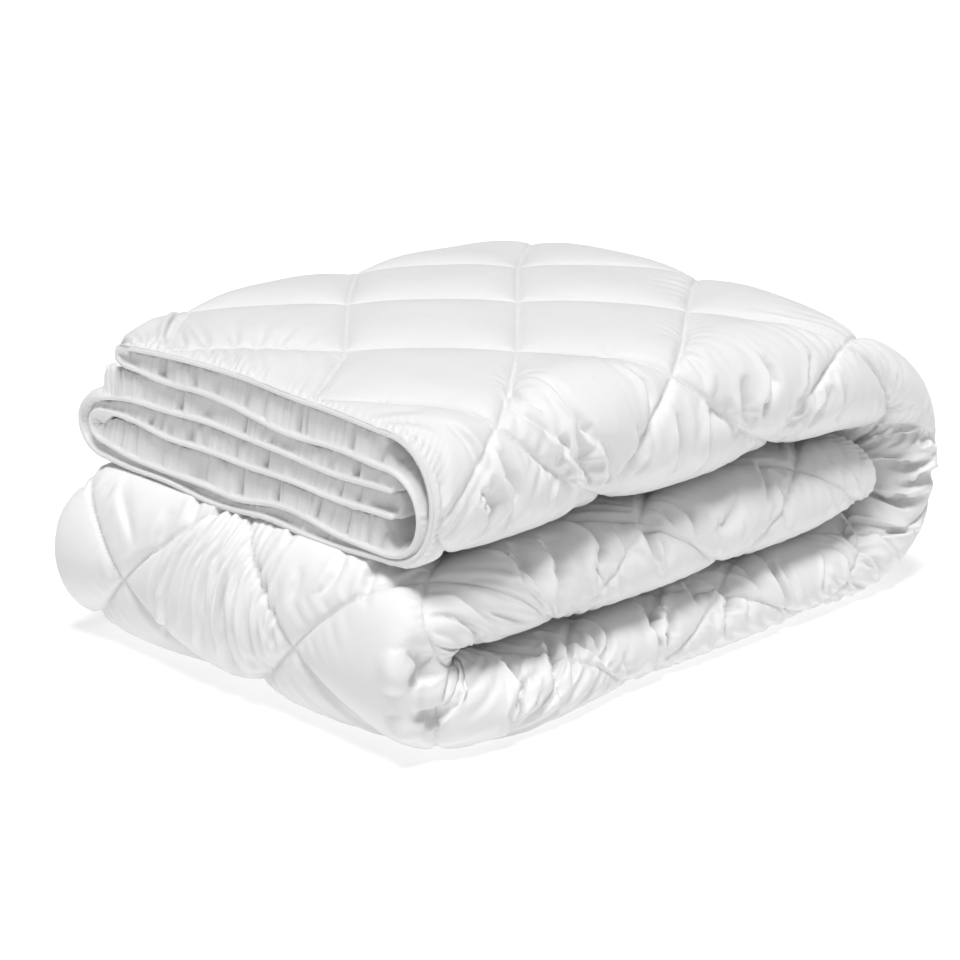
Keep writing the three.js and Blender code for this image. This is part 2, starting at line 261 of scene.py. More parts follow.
# Stretches of the cover across the strip, from the slit at the back over the top, round the
# front and back under the strip: columns while relaxed and when finished, cells at the ends
STRETCHES = (
    ("slit under the second layer", 10, 6, -4.0, -1.6),
    ("fold of the first layer", 12, 12, -1.6, 0.0),
    ("first layer", 112, 176, 0.0, 14.0),
    ("front", 64, 108, 14.0, 22.0),
    ("sixth layer", 112, 40, 22.0, 37.0),
    ("back", 34, 20, 37.0, 41.4),
    ("slit on the third layer", 10, 4, 41.4, 44.0),
)


def cover_form(strip):
    """The smooth form of the cover, and the quilting cell of each of its columns."""
    turn = strip.turns()
    middle = (
        strip.run(2, turn["hairpin"] - SLIT, turn["hairpin"], 10),
        strip.fold(2, 1, turn["hairpin"], turn["hairpin_length"], 24),
        strip.run(1, turn["hairpin"], turn["nose"], 60),
        strip.fold(1, 6, turn["nose"], -strip.nose, 70, NOSE_FULL),
        strip.run(6, turn["nose"], turn["heel"], 60),
        strip.fold(6, 3, turn["heel"], turn["heel_length"], 50),
        strip.run(3, turn["heel"], turn["heel"] - SLIT, 10),
    )
    line = beside(joined(middle), strip.half[:, None, None])
    rows, cells, start = [], [], 0
    for (name, columns, _, first, last), part in zip(STRETCHES, middle):
        end = start + part.shape[1] - (start > 0)
        keep = columns + 1 if name == STRETCHES[-1][0] else columns
        rows.append(resampled(line[:, max(start - 1, 0):end], columns + 1)[:, :keep])
        cells.append(np.linspace(first, last, columns + 1)[:keep])
        start = end
    return strip.place(np.concatenate(rows, 1)), np.concatenate(cells)


def normals_of(grid):
    """Outward normals of a grid of points."""
    along, across = np.gradient(grid, axis=0), np.gradient(grid, axis=1)
    return unit(np.cross(across, along))


# The quilting

SEAM_DEPTH = 9.3
SEAM_SHARE = 0.62  # the most of a layer's thickness that a seam takes
SEAM_AT_HEM = 0.3  # a share of the depth, as the next
SEAM_ON_PARTS = (0.5, 0.68, 0.8, 0.35)  # on the lower rolls, top, upper roll and corner
PUFF_FULL = 3.6  # the higher, the flatter a puff's crest


def seam_distance(along, across):
    """Distance in mm to the two families of stitched rows."""
    families = []
    for cell in (along + across, along - across):
        away = np.mod(cell - PHASE, DIAMOND)
        families.append(np.minimum(away, DIAMOND - away) * CELL / math.sqrt(2))
    return families


def quilting(along, across):
    """0 on a stitched row and 1 on the crest of a puff."""
    reach = DIAMOND / 2 * CELL / math.sqrt(2)
    rise = 1.0
    for away in seam_distance(along, across):
        rise = rise * (1 - (1 - away / reach) ** PUFF_FULL)
    return rise


# Creases

# The main creases, from places picked on the photo, turned into places on the cloth,
# thinned and rounded. Columns: where a crease starts, along the strip in mm and
# across it in quilting cells, where it ends, how far its middle bows aside, its width and
# its depth in mm. A depth below 0 is a ridge.
CREASES = (
    # Upper roll
    (5, 16.5, 5, 19, 0, 6, 2.5), (35, 15.5, 40, 17, 0, 8, -2), (35, 18, 40, 19, 3, 10, 5),
    (55, 17, 60, 19, 0, 11, 5.5), (65, 18.5, 55, 20, -4, 6, -1.5), (85, 16, 95, 17, 0, 5, 2),
    (95, 14.5, 95, 16, -4, 7, 2.5), (100, 17, 115, 18, 0, 6, 3), (105, 18.5, 100, 19, 0, 5, 1.5),
    (115, 15, 130, 17.5, -4, 8, 3.5), (115, 17, 135, 19, -3, 14, 7), (135, 17.5, 150, 19, 0, 9, 4.5),
    (165, 17.5, 165, 18.5, 2, 6, 2), (180, 15.5, 180, 17, 2, 9, 4.5), (180, 18.5, 170, 19, 0, 4, 1.5),
    (205, 17.5, 205, 19, -2, 9, 4.5), (205, 18.5, 200, 19.5, 0, 4, 1.5),
    (240, 17.5, 235, 19.5, -3, 12, 6), (265, 17, 275, 18.5, -3, 12, 6),
    (290, 16.5, 285, 18, 4, 9, 4.5), (340, 16.5, 315, 18.5, 0, 9, 3), (335, 18.5, 310, 19, 3, 5, 1.5),
    (355, 18, 340, 19, 0, 9, 4), (370, 18, 370, 19, 0, 8, 3.5),
    # Right end
    (455, 19.5, 480, 18, 3, 7, 2.5), (510, 20, 535, 17.5, 3, 9, 4), (535, 18.5, 550, 17, 0, 8, -2),
    (550, 20, 555, 18, -3, 10, 5), (580, 19, 570, 17, 4, 10, 5), (600, 20.5, 590, 18, -3, 12, 6),
    (650, 19.5, 655, 17, -6, 7, -2), (655, 21, 625, 17, 5, 7, 2.5), (660, 21, 680, 20, 0, 9, 3.5),
    (685, 20, 675, 17, 0, 7, 2.5),
    # Inner roll
    (1305, 14.5, 1305, 17, 5, 7, 2.5), (1320, 15, 1315, 17, -3, 8, 4),
    (1345, 15.5, 1330, 18.5, -4, 12, 6), (1370, 17.5, 1365, 18.5, 0, 6, 2.5),
    (1380, 14.5, 1365, 17.5, 4, 12, 6), (1400, 16, 1395, 17.5, 0, 5, 2),
    (1425, 16, 1420, 18, -4, 12, 6), (1430, 17, 1430, 18, 0, 6, 2.5),
    (1440, 15.5, 1445, 16.5, 0, 5, 2), (1450, 15, 1460, 17.5, 3, 7, 3),
    (1505, 16.5, 1475, 17.5, 0, 10, 2.5), (1550, 16.5, 1545, 18, 0, 8, 3.5),
    (1555, 15, 1530, 17, 0, 7, 3), (1610, 16.5, 1610, 18, 0, 5, 2), (1620, 17, 1630, 18, -3, 6, 2.5),
    # Outer roll
    (705, 19.5, 710, 17.5, -2, 9, 4), (730, 19.5, 745, 18, 0, 7, 2.5), (765, 21, 775, 18, -3, 7, 2.5),
    (770, 22.5, 785, 20, 0, 6, 2), (780, 20.5, 785, 17.5, -2, 9, 4.5), (795, 22, 805, 20, 0, 6, 2),
    (815, 21.5, 805, 18.5, 2, 7, 2.5), (820, 19, 825, 18, 0, 7, 2.5), (835, 21.5, 845, 18, 3, 10, 5),
    (850, 22, 860, 20, 0, 7, 2.5), (870, 22, 925, 19.5, 5, 9, 2), (890, 20, 905, 17.5, 0, 10, 5),
    (900, 21.5, 915, 18, -3, 9, 4.5), (950, 18.5, 945, 17, 0, 6, 2), (955, 22, 965, 19, 4, 7, 3),
    (970, 21, 970, 19, -2, 7, 3), (990, 21, 960, 18, -3, 6, 2), (995, 21, 1005, 18.5, 0, 7, 3),
    (1005, 21.5, 1020, 18.5, -4, 9, 4.5), (1020, 18.5, 1015, 17.5, 0, 6, 2),
    (1040, 18.5, 1045, 17.5, 0, 6, 2), (1045, 19.5, 1065, 18, -3, 7, 2.5),
    (1065, 18, 1060, 16.5, 3, 6, 2), (1075, 21.5, 1065, 16.5, 15, 10, 5),
    # Corner
    (1120, 16.7, 1140, 16.8, 0, 24, 9.2), (1160, 17, 1190, 16.8, 0, 25, 9.2),
    (1235, 17, 1235, 19.5, 3, 10, 3), (1255, 16, 1255, 18.5, 0, 10, 3),
    # Left end
    (1225, 2, 1195, 3.5, 0, 9, 1.5), (1225, 4.5, 1190, 4.5, 0, 10, 1.5),
    (1190, 5, 1155, 4.5, 0, 8, 1.5), (1240, 5, 1220, 5.5, 0, 8, 1.5), (1195, 5.5, 1170, 5, 0, 8, 1.5),
    (1245, 6.3, 1130, 4.5, 6, 7, 2.2), (1245, 6.8, 1150, 6, 5, 6, 1.8),
    (1245, 7.2, 1135, 6.5, 8, 7, 2.4), (1245, 7.6, 1170, 7.5, 4, 6, 2),
    (1240, 8, 1115, 7.4, 7, 7, 2.4), (1200, 8.2, 1115, 8.2, -5, 6, 1.8),
    (1235, 8.4, 1155, 8.4, 3, 6, 2), (1235, 8.8, 1115, 8.8, 4, 7, 2.4),
    (1225, 9.2, 1125, 9.1, 0, 6, 2), (1245, 9.5, 1225, 9.8, 0, 6, 1.5),
    (1215, 9.8, 1130, 9.5, -3, 6, 2), (1200, 10.3, 1145, 9.9, 0, 6, 1.6),
    (1215, 11, 1195, 11, 0, 9, 1.5), (1235, 12, 1205, 12, 3, 8, 2), (1245, 13, 1215, 13.5, 0, 8, 2.5),
)
WIDTH_COLUMN = 5
CREASE_DEPTH = 1.6  # all depths times this
CREASE_FINE = 8.0  # creases narrower than this are laid on after the relaxing
SEEN_REVERSED = (670, 1150)  # stretch of the strip that runs from right to left in the view
WIDTH_TO_SPREAD = 0.42
WANDER = 1.3  # how far a crease wanders off its line
STEEP, GENTLE = 0.6, 1.4  # widths of a crease's two walls, as shares of its spread
RIDGE_PLACE, RIDGE_WIDTH, RIDGE_HEIGHT = 1.6, 0.85, 0.55  # of the ridge beside it


def walked_to(walk, cells, cell):
    """The walked length at a quilting cell, for every row."""
    place = np.interp(cell, cells, np.arange(len(cells)))
    low = min(int(place), len(cells) - 2)
    return lerp(walk[:, low], walk[:, low + 1], place - low)[:, None]


def crease_shape(aside, spread):
    """A crease's section: a steep wall with a low ridge on one side, a gentle rise on the other."""
    steep = np.exp(-(aside / (STEEP * spread)) ** 2)
    gentle = np.exp(-(aside / (GENTLE * spread)) ** 2)
    ridge = np.exp(-((aside - RIDGE_PLACE * spread) / (RIDGE_WIDTH * spread)) ** 2)
    return np.where(aside > 0, steep, gentle) - RIDGE_HEIGHT * ridge


def crease_field(along, walk, cells, creases):
    """How far the creases push the cloth in or out, on a grid of walked lengths."""
    field = np.zeros_like(walk)
    for start, start_cell, end, end_cell, bow, width, depth in creases:
        spread = WIDTH_TO_SPREAD * width
        reach = 3 * width + abs(bow)
        rows = np.flatnonzero((along > min(start, end) - reach) & (along < max(start, end) + reach))
        middle = (start_cell + end_cell) / 2
        w = walk[rows] - walked_to(walk[rows], cells, middle)
        ahead = walked_to(walk[rows], cells, middle + 1) - walked_to(walk[rows], cells, middle - 1)
        pitch = float(ahead.mean()) / 2
        u = along[rows][:, None]
        w = w + WANDER * np.sin(u / 11 + w / 17)
        u = u + WANDER * np.sin(w / 9 - u / 23)
        du, dw = end - start, (end_cell - start_cell) * pitch
        size = math.hypot(du, dw)
        du, dw = du / size, dw / size
        from_u, from_w = u - start, w - (start_cell - middle) * pitch
        t = (from_u * du + from_w * dw) / size
        beyond = np.maximum(np.maximum(-t, t - 1), 0) * size
        t = np.clip(t, 0, 1)
        aside = from_u * dw - from_w * du - bow * 4 * t * (1 - t)
        # The steep wall is on the side that is to the left in the view
        to_right = -1 if SEEN_REVERSED[0] < start < SEEN_REVERSED[1] else 1
        left = -to_right * np.sign(dw) if abs(dw) > abs(du) else np.sign(du)
        fade = np.exp(-(beyond / spread) ** 2) * np.sin(np.pi * (0.08 + 0.84 * t)) ** 0.9
        field[rows] -= CREASE_DEPTH * depth * fade * crease_shape(aside * left, spread)
    return field


# Relaxing the cloth

def noise(shape, wave, seed):
    """Smooth noise on a grid, with a wavelength in grid steps for each direction."""
    field = np.random.default_rng(seed).standard_normal(shape)
    f0 = np.fft.fftfreq(shape[0])[:, None] * wave[0]
    f1 = np.fft.rfftfreq(shape[1])[None] * wave[1]
    band = np.exp(-(np.sqrt(f0 ** 2 + f1 ** 2) - 1) ** 2 / 0.18)
    field = np.fft.irfft2(np.fft.rfft2(field) * band, shape)
    return field / field.std()


def pull(a, b, rest, share):
    """Draws pairs of points to their resting distance."""
    gap = b - a
    length = np.sqrt(np.einsum("...i,...i", gap, gap))
    move = gap * (share * 0.5 * (1 - rest / np.maximum(length, 1e-6)))[..., None]
    a += move
    b -= move


def lengths(a, b):
    return np.sqrt(((b - a) ** 2).sum(-1))


KEPT_SPEED = 0.85


def relax(x, cloth, rounds):
    """Lets the cloth settle between its stitched rows. x is changed in place."""
    rest_u, rest_w, diagonal = cloth["rest_u"], cloth["rest_w"], cloth["diagonal"]
    form, out, target = cloth["form"], cloth["out"], cloth["target"]
    low, high, sewn = cloth["low"], cloth["high"], cloth["sewn"]
    anchor = form + out * target[..., None]
    last = x.copy()
    for _ in range(rounds):
        speed = (x - last) * KEPT_SPEED
        last = x.copy()
        x += speed
        lift = ((x - form) * out).sum(-1)
        x += out * (cloth["fill"] * (target - lift) + cloth["press"])[..., None]
        for start in (0, 1):
            a, b = x[start:-1:2], x[start + 1::2]
            pull(a, b, rest_u[start::2], 1.0)
            a, b = x[:, start:-1:2], x[:, start + 1::2]
            pull(a, b, rest_w[:, start::2], 1.0)
            pull(x[start:-1:2, :-1], x[start + 1::2, 1:], diagonal[start::2], cloth["shear"])
            pull(x[start:-1:2, 1:], x[start + 1::2, :-1], diagonal[start::2], cloth["shear"])
        for axis in (0, 1):
            v = x if axis == 0 else x.transpose(1, 0, 2)
            rest = cloth["curve"][axis]
            bent = ((v[:-2] + v[2:]) / 2 - v[1:-1] - rest) * cloth["stiff"]
            v[1:-1] += bent / 2
            v[:-2] -= bent / 4
            v[2:] -= bent / 4
        x += (anchor - x) * sewn[..., None]
        lift = ((x - form) * out).sum(-1)
        x += out * (np.clip(lift, low, high) - lift)[..., None]
    return x


def at_places(x, places, axis):
    """The grid x at other, fractional places along one axis, by a smooth curve."""
    n = np.clip(places.astype(int), 0, x.shape[axis] - 2)
    t = (places - n).reshape([-1 if k == axis else 1 for k in range(x.ndim)])
    p = [np.take(x, np.clip(n + k, 0, x.shape[axis] - 1), axis) for k in (-1, 0, 1, 2)]
    bend = 2 * p[0] - 5 * p[1] + 4 * p[2] - p[3]
    twist = 3 * (p[1] - p[2]) + p[3] - p[0]
    return p[1] + 0.5 * t * (p[2] - p[0] + t * (bend + t * twist))


def finer(x, shape):
    """The grid x at another resolution."""
    for axis in (0, 1):
        x = at_places(x, np.linspace(0, x.shape[axis] - 1, shape[axis]), axis)
    return x


GRID_STEP = 2.5  # of the relaxed cloth; the next three are of the finished cover
ROW_STEP, FRONT_STEP, TOP_STEP = 1.2, 1.6, 2
FRONT_COLUMNS = (176, 306)  # from the middle of the first layer to below the front
FLOOR_LIFT = 0.4
EDGE_TUCK = 1.5  # how far the cover draws in where its band takes hold
SHOULDER_PLACE = 1236  # where the left end meets the hem
SHOULDER_RISE, SHOULDER_LENGTH = 9.0, 20
FLAT_BEYOND, FLAT_LENGTH = 14, 26  # the seams lie flatter there, counted from the shoulder
FLAT_SHARE = 0.8

# Parts of the strip along it: where one starts, counts in full, fades and ends
RIGHT_END = (430, 480, 640, 700)
OUTER_ROLL = (640, 700, 1090, 1150)
CORNER = (1060, 1100, 1290, 1330)
INNER_ROLL = (1270, 1320)  # it runs on to the end of the strip
TOP_LENGTH = 480
RIGHT_FREE, LEFT_FREE = (430, 680), (1000, 1290)  # both ends, where the cloth has room to rise

# In cells: where the rows run askew along the strip, and parts of the cover across it
SKEWED = (0, 4, 24, 30)
TOP_ENDS, FRONT_STARTS, FRONT_ENDS = (12, 15), (13, 15), (23, 25)

# Filling, air, and resistance to shear and bending, in both rounds of relaxing
COARSE = {"fill": 0.004, "press": 0.004, "shear": 0.15, "stiff": 0.01}
FINE = {"fill": 0.0035, "press": 0.003, "shear": 0.15, "stiff": 0.02}
ROUNDS, QUICK_ROUNDS = (200, 160), (60, 40)
LOWEST = -15.0  # how far the cloth may sink below its form
LITTLE_ROOM, MUCH_ROOM = 0.6, 4.0  # how far it may rise
FACES_DOWN = -0.2  # a normal whose z is below this meets the floor
NO_LIMIT = 99

# How much longer the cloth is than its form
SPARE, SPARE_ON_TOP = 0.010, 0.003
SPARE_ON_FRONT = (0.008, 0.025)
SPARE_ACROSS = 0.01

PUCKER_WAVE, PUCKER_REACH, PUCKER_DEPTH = 1.05, 7, 0.2  # of the gathers beside the seams
GROOVE_DEPTH, GROOVE_WIDTH = 1.4, 1.6  # of the groove along the stitches
FOLD_WAVE, FOLD_LENGTH = 9.5, 55.0  # of the small folds between the creases
FOLD_HEIGHT = 0.5
FOLD_LEAN = 0.5  # how far a fold leans over, as a share of its height
CREASE_LEAN = 0.4  # the same for the narrow creases, as a share of the folds' lean


class CoverGrid:
    """The grid that the cover is relaxed on. a and b are cells along and across, c is across
    before the rows shift aside, and u is the place along the strip in mm."""

    def __init__(self):
        self.count = int(round(FULL_LENGTH / GRID_STEP / 4)) * 4 + 1
        self.strip = Strip(np.linspace(0, FULL_LENGTH, self.count))
        self.form, self.across = cover_form(self.strip)
        self.out = normals_of(self.form)
        a, self.c = np.meshgrid(self.strip.cell, self.across, indexing="ij")
        askew = stretch(a, *SKEWED) * (1 - smoothstep(self.c, 17, 21))
        self.a = a + SKEW * np.clip(self.c - 12, 0, 6) * askew
        self.b = self.c + self.strip.shift[:, None]
        self.u = self.strip.along[:, None] + 0 * a
        self.bound = np.minimum(self.strip.along, FULL_LENGTH - self.strip.along)
        steps = lengths(self.form[:, :-1], self.form[:, 1:])
        self.walk = np.pad(np.cumsum(steps, 1), ((0, 0), (1, 0)))
        self.puff = quilting(self.a, self.b)
        self.seam = np.minimum(*seam_distance(self.a, self.b))
        self.corner = stretch(self.u, *CORNER) * smoothstep(self.c, *FRONT_STARTS)
        self.right = (self.u > RIGHT_FREE[0]) & (self.u < RIGHT_FREE[1])
        self.left = (self.u > LEFT_FREE[0]) & (self.u < LEFT_FREE[1])


def seam_depths(grid):
    """How deep the stitched rows lie, which differs between the parts of the cover."""
    u, c, strip = grid.u, grid.c, grid.strip
    thick = 2 * strip.half[:, None] + 0 * u
    deep = np.minimum(SEAM_DEPTH, SEAM_SHARE * thick)
    deep = deep * lerp(1, SEAM_AT_HEM, np.maximum(strip.hem, strip.tail))[:, None]
    lower = stretch(u, *OUTER_ROLL) + smoothstep(u, *INNER_ROLL)
    lower = lower * smoothstep(c, *FRONT_STARTS) * (1 - smoothstep(c, *FRONT_ENDS))
    on_top = (1 - smoothstep(u, 380, 450)) * (1 - smoothstep(c, *TOP_ENDS))
    upper = (1 - smoothstep(u, 420, 480)) * smoothstep(c, 13, 16)
    parts = (lower, on_top, upper, grid.corner)
    for share, part in zip(SEAM_ON_PARTS, parts):
        deep = deep * lerp(1, share, part)
    at_hem = np.exp(-((u - SHOULDER_PLACE - FLAT_BEYOND) / FLAT_LENGTH) ** 2)
    at_hem = at_hem * (1 - smoothstep(c, *TOP_ENDS))
    return deep * (1 - FLAT_SHARE * at_hem)


def target_heights(grid, creases):
    """Where the cloth should lie over its form: seams, broad creases and the left shoulder."""
    rise = np.exp(-((grid.strip.along - SHOULDER_PLACE) / SHOULDER_LENGTH) ** 2)
    rise = SHOULDER_RISE * rise[:, None]
    target = -seam_depths(grid) * (1 - grid.puff) * smoothstep(grid.bound, 2, 26)[:, None] + creases
    return target + rise * (1 - smoothstep(grid.c, *TOP_ENDS)) * smoothstep(grid.c, -1, 1)


def room_above(grid):
    """How far the cloth may rise: little where the strip lies on itself or on the floor."""
    flat = np.abs(grid.out[..., 2])
    top = (grid.u < TOP_LENGTH) & (grid.c < 16)
    free = (top | grid.right | grid.left).astype(float)
    free = finer(free[::8, ::8], free.shape)
    room = np.clip(free + (1 - smoothstep(flat, 0.25, 0.75)), 0, 1)
    return lerp(LITTLE_ROOM, MUCH_ROOM, room) * smoothstep(grid.bound, 1, 20)[:, None] + 0.05


def spare_cloth(grid):
    """More cloth than form, along the strip and across it, and the bumps that it starts from."""
    corner, left, shape = grid.corner, grid.left, grid.u.shape
    front = np.exp(-((grid.c - 18) / 4.2) ** 2) * (1 - 0.9 * corner) * (1 - 0.5 * grid.right)
    top = (grid.u < TOP_LENGTH) & (grid.c < 14)
    calm = finer(top.astype(float)[::8, ::8], shape)
    patchy = 0.5 + 0.5 * np.clip(noise(shape, (60, 60), 12), -1, 1)
    more_u = lerp(SPARE, SPARE_ON_TOP, calm) + front * lerp(*SPARE_ON_FRONT, patchy)
    more_w = lerp(SPARE, SPARE_ON_TOP, calm) + SPARE_ACROSS * left + SPARE_ACROSS * front
    bumps = 0.45 * noise(shape, (11, 40), 3) * front + 0.25 * noise(shape, (16, 16), 5)
    bumps = bumps * (1 - corner) * lerp(1, 0.3, calm) + 0.3 * noise(shape, (40, 9), 7) * left
    return more_u, more_w, bumps * smoothstep(grid.seam, 0, 12)


def cloth_at(grid, step, target, high, more_u, more_w):
    """What relax needs to know of the cloth, on each line or each second line of the grid."""
    form, out, target, high, more_u, more_w, seam = (
        field[::step, ::step]
        for field in (grid.form, grid.out, target, high, more_u, more_w, grid.seam))
    base = form + out * target[..., None]
    rest_u = lengths(base[:-1], base[1:]) * (1 + (more_u[:-1] + more_u[1:]) / 2)
    rest_w = lengths(base[:, :-1], base[:, 1:]) * (1 + (more_w[:, :-1] + more_w[:, 1:]) / 2)
    diagonal = np.hypot((rest_u[:, :-1] + rest_u[:, 1:]) / 2, (rest_w[:-1] + rest_w[1:]) / 2)
    sewn = np.exp(-(seam / (1.3 * step)) ** 2) * 0.5
    sewn = np.maximum(sewn, 0.9 * (grid.bound[::step, None] < 1.5))
    curve = [(v[:-2] + v[2:]) / 2 - v[1:-1] for v in (base, base.transpose(1, 0, 2))]
    steep = np.minimum(out[..., 2], FACES_DOWN)
    floor = np.where(out[..., 2] < FACES_DOWN, (form[..., 2] - FLOOR_LIFT) / -steep, NO_LIMIT)
    high = np.minimum(np.maximum(high, target + 1), floor)
    return {
        "form": form, "out": out, "target": target, "rest_u": rest_u, "rest_w": rest_w,
        "diagonal": diagonal, "curve": curve, "sewn": sewn,
        "low": np.minimum(LOWEST + 0 * target, high), "high": high,
    }


def settled(grid, target, creases):
    """The cover after relaxing it on a coarse grid and then on the whole one."""
    form, out = grid.form, grid.out
    more_u, more_w, bumps = spare_cloth(grid)
    fields = (target, room_above(grid), more_u, more_w)
    x = form + out * (target + bumps)[..., None]
    rounds = ROUNDS
    y = relax(x[::2, ::2].copy(), cloth_at(grid, 2, *fields) | COARSE, rounds[0])
    moved = finer(y - form[::2, ::2], form.shape)
    x = relax(form + moved, cloth_at(grid, 1, *fields) | FINE, rounds[1])
    lift = ((x - form) * out).sum(-1)
    held = 0.95 * np.clip(np.abs(creases) / 2, 0, 1)
    held = np.maximum(0.85 * np.exp(-(grid.seam / 4) ** 2), held)
    return x + out * ((target - lift) * held)[..., None]


def pucker(cell, other, away):
    """Small gathers beside a stitched row."""
    line = np.floor((cell - PHASE) / DIAMOND + 0.5).astype(int) * 2
    line = line + (np.mod(cell - PHASE, DIAMOND) < DIAMOND / 2)
    phase = np.random.default_rng(4).random((3, 400)) * 6.3
    s = other * CELL / math.sqrt(2)
    n = np.clip(line + 200, 0, 399)
    wave = np.sin(s / PUCKER_WAVE + phase[0][n] + 1.6 * np.sin(s / 6.1 + phase[1][n]))
    wave = wave * (0.6 + 0.4 * np.sin(s / 9.7 + phase[2][n]))
    return wave * np.exp(-away / PUCKER_REACH) * (1 - np.exp(-away / 1.5))


def small_folds(grid, pick, shape):
    """Small uneven folds across the rolls and down the left end, and which way they lean."""
    u, c = grid.u, grid.c
    front = np.exp(-((c - 18.2) / 3.0) ** 2) * smoothstep(c, 14, 16)
    front = front * (1 - stretch(u, *CORNER)) * (1 - 0.7 * stretch(u, *RIGHT_END))
    down = grid.left * stretch(c, 4, 6, 10, 12)
    calm = 1 - 0.65 * grid.puff
    patchy = 0.65 + 0.35 * np.clip(noise(c.shape, (26, 20), 41), -1.5, 1.5)
    across_rolls = noise(shape, (FOLD_WAVE / ROW_STEP, FOLD_LENGTH / FRONT_STEP), 31)
    down_end = noise(shape, (2 * FOLD_LENGTH / ROW_STEP, FOLD_WAVE / TOP_STEP), 33)
    front, down, patchy = (np.maximum(pick(v), 0) for v in (front * calm, down * calm, patchy))
    folds = FOLD_HEIGHT * patchy * (front * across_rolls + down * down_end)
    reversed_part = (pick(u) > SEEN_REVERSED[0]) & (pick(u) < SEEN_REVERSED[1])
    to_right = np.where(reversed_part, -1.0, 1.0)
    share = down / np.maximum(front + down, 1e-3)
    return folds, (FOLD_LEAN * to_right * (1 - share), FOLD_LEAN * share)


def finished(grid, x, creases):
    """The settled cover on a finer grid, with narrow creases, small folds and gathers."""
    rows = np.linspace(0, grid.count - 1, 4 * int(round(FULL_LENGTH / ROW_STEP / 4)) + 1)
    columns, start = [], 0
    for _, old, new, _, _ in STRETCHES:
        columns.append(start + np.linspace(0, old, new, endpoint=False))
        start += old
    columns = np.append(np.concatenate(columns), start)
    pick = lambda v: at_places(at_places(v, rows, 0), columns, 1)
    x = pick(x)
    along = np.interp(rows, np.arange(grid.count), grid.strip.along)
    a, b, walk = pick(grid.a), pick(grid.b), pick(grid.walk)
    first, second = seam_distance(a, b)
    cells = np.interp(columns, np.arange(len(grid.across)), grid.across)
    narrow = crease_field(along, walk, cells, creases)
    gathers = pucker(a + b, a - b, first) + pucker(a - b, a + b, second)
    groove = -GROOVE_DEPTH * np.exp(-(np.minimum(first, second) / GROOVE_WIDTH) ** 2)
    bound = np.minimum(along, FULL_LENGTH - along)[:, None]
    edge = np.sin(walk / 0.95 + 2.1 * np.sin(walk / 7.3)) * (1 + 0.6 * np.sin(walk / 13))
    edge = edge * np.exp(-bound / 10) * smoothstep(bound, 0.5, 4)
    edge = edge - EDGE_TUCK * np.exp(-(bound / 3) ** 2)
    folds, lean = small_folds(grid, pick, x.shape[:2])
    inside = smoothstep(bound, 2, 10)
    ahead, aside = (unit(np.gradient(x, axis=axis)) for axis in (0, 1))
    normals = normals_of(x)
    x = x + normals * folds[..., None] * inside[..., None]
    leaning = (folds + CREASE_LEAN * narrow)[..., None] * inside[..., None]
    x = x + (ahead * lean[0][..., None] + aside * lean[1][..., None]) * leaning
    x = x + normals * ((narrow + PUCKER_DEPTH * gathers + groove) * inside + edge)[..., None]
    x[..., 2] = np.maximum(x[..., 2], FLOOR_LIFT)
    return {
        "points": x, "along": a, "across": b, "seam": np.minimum(first, second),
        "first": a + b, "second": a - b}


def make_cover():
    """The finished cover: its points, its cells along and across, and its stitched rows."""
    grid = CoverGrid()
    broad = [crease for crease in CREASES if crease[WIDTH_COLUMN] >= CREASE_FINE]
    narrow = [crease for crease in CREASES if crease[WIDTH_COLUMN] < CREASE_FINE]
    creases = crease_field(grid.strip.along, grid.walk, grid.across, broad)
    x = settled(grid, target_heights(grid, creases), creases)
    return finished(grid, x, narrow)


# Meshes

def mesh_piece(name, points, faces, material, normals=None, flat=None):
    """A mesh object that rides on the duvet. points are in mm, in the sections' frame, and
    flat holds their places on the flat cloth, for the materials."""
    mesh = bpy.data.meshes.new(name)
    co = ((np.asarray(points, float).reshape(-1, 3) - MIDDLE) * MM).astype(np.float32)
    faces = np.asarray(faces, np.int32)
    mesh.vertices.add(len(co))
    mesh.vertices.foreach_set("co", co.ravel())
    mesh.loops.add(faces.size)
    mesh.loops.foreach_set("vertex_index", faces.ravel())
    mesh.polygons.add(len(faces))
    mesh.polygons.foreach_set("loop_start", np.arange(0, faces.size, faces.shape[1], dtype=np.int32))
    mesh.update(calc_edges=True)
    mesh.polygons.foreach_set("use_smooth", np.full(len(faces), True))
    if flat is not None:
        places = mesh.attributes.new("cloth", "FLOAT_VECTOR", "POINT")
        places.data.foreach_set("vector", np.asarray(flat, np.float32).ravel())
    mesh.materials.append(material)
    mesh.validate()
    if normals is not None:
        mesh.normals_split_custom_set_from_vertices(normals.reshape(-1, 3).tolist())
    piece = bpy.data.objects.new(name, mesh)
    bpy.context.scene.collection.objects.link(piece)
    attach(piece, BODY)
    return piece


def grid_faces(rows, columns, closed=False):
    """Quads of a grid of points; closed joins the last column to the first."""
    last = columns if closed else columns - 1
    i, j = np.meshgrid(np.arange(rows - 1) * columns, np.arange(last), indexing="ij")
    k = (j + 1) % columns
    return np.stack([i + j, i + k, i + columns + k, i + columns + j], -1).reshape(-1, 4)


# Materials

def node(tree, kind, **values):
    made = tree.nodes.new(kind)
    for key, value in values.items():
        if key.startswith("in_"):
            made.inputs[key[3:].replace("_", " ")].default_value = value
        else:
            setattr(made, key, value)
    return made


def link(tree, source, output, target, entry):
    tree.links.new(source.outputs[output], target.inputs[entry])


def set_inputs(shader, values):
    for name, value in values.items():
        shader.inputs[name].default_value = value


def noise_of(tree, place, scale, detail):
    """Noise over the cloth's own sizes."""
    made = node(tree, "ShaderNodeTexNoise", in_Scale=scale, in_Detail=detail)
    link(tree, place, "Vector", made, "Vector")
    return made


